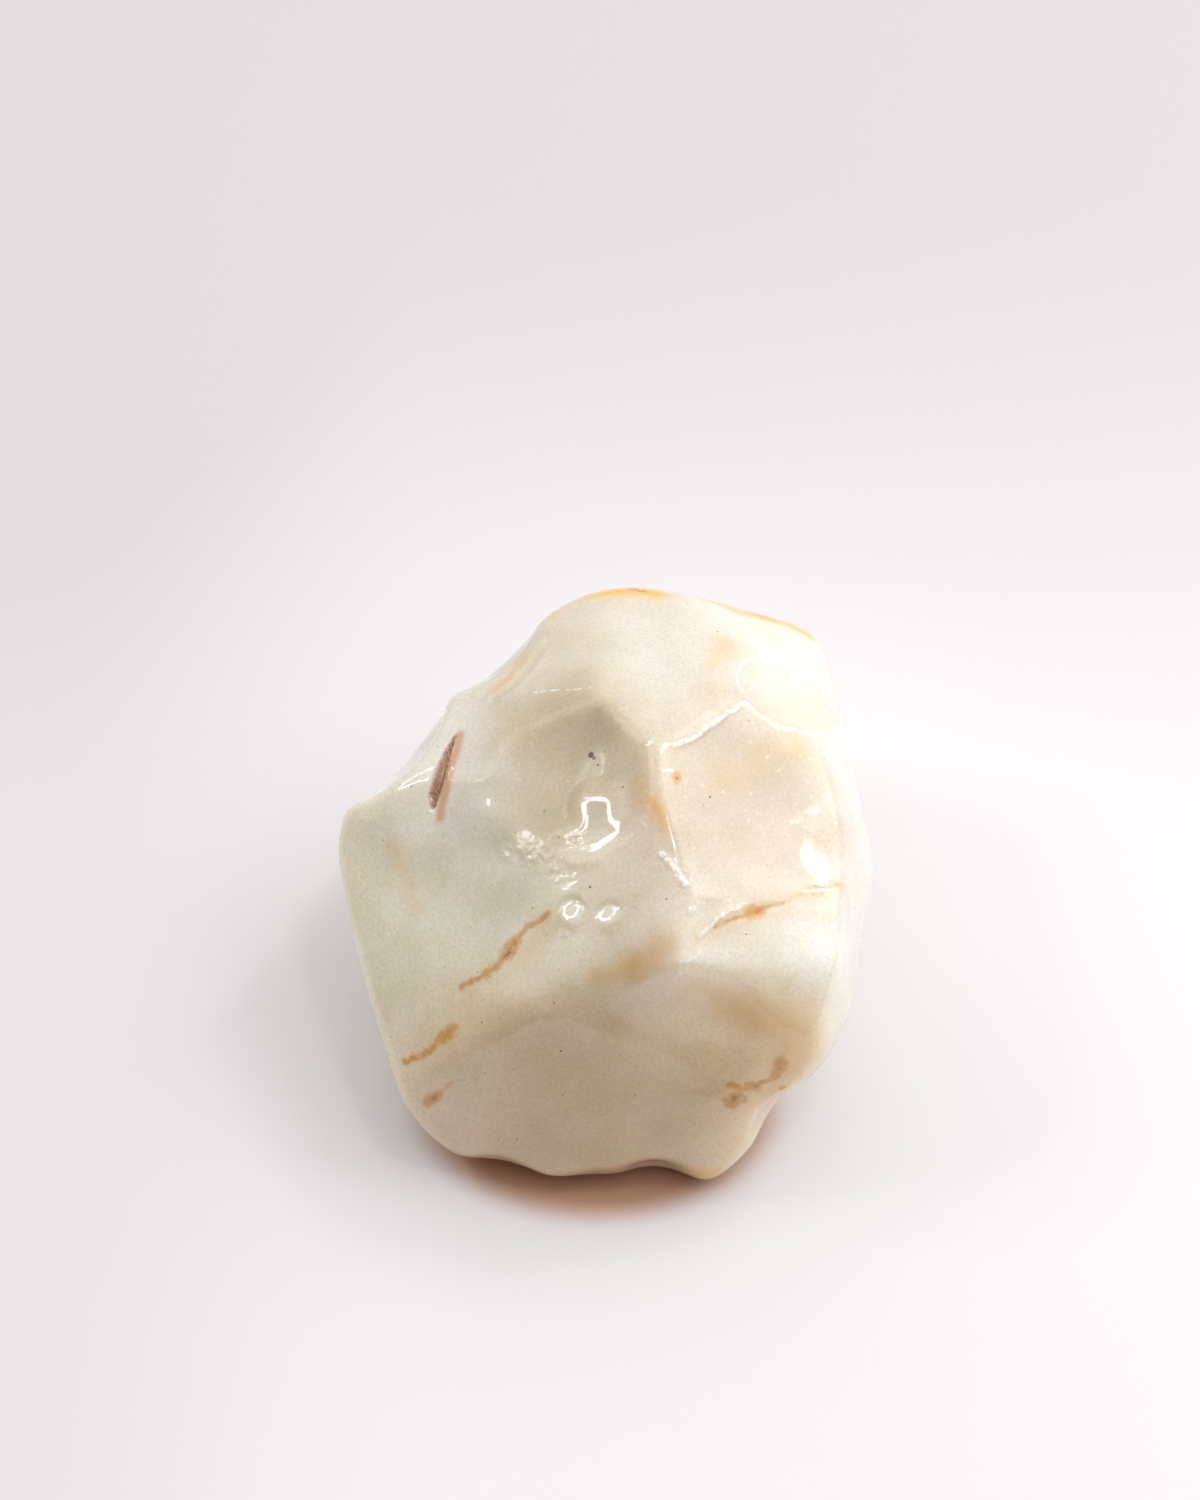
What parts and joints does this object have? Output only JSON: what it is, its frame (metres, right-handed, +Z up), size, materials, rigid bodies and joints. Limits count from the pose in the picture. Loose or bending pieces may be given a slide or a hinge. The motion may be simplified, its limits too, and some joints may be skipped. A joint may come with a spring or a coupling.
{
  "type": "opal specimen",
  "caption": "Tumbled lump of milky white common opal, with broad facets, shell-like fracture hollows and a small pit.",
  "frame": {"origin": "middle of the footprint's box, on the surface that the stone rests on", "axes": "+Z up from the flat spot that the stone rests on, -Y towards the steep front face, +X towards the bright right side"},
  "size_m": [0.038, 0.0398, 0.0249],
  "materials": {
    "opal": "milky and translucent under a wet gloss, with brown and orange veins"
  },
  "bodies": {
    "root": {"opal": "opal"}
  },
  "joints": []
}
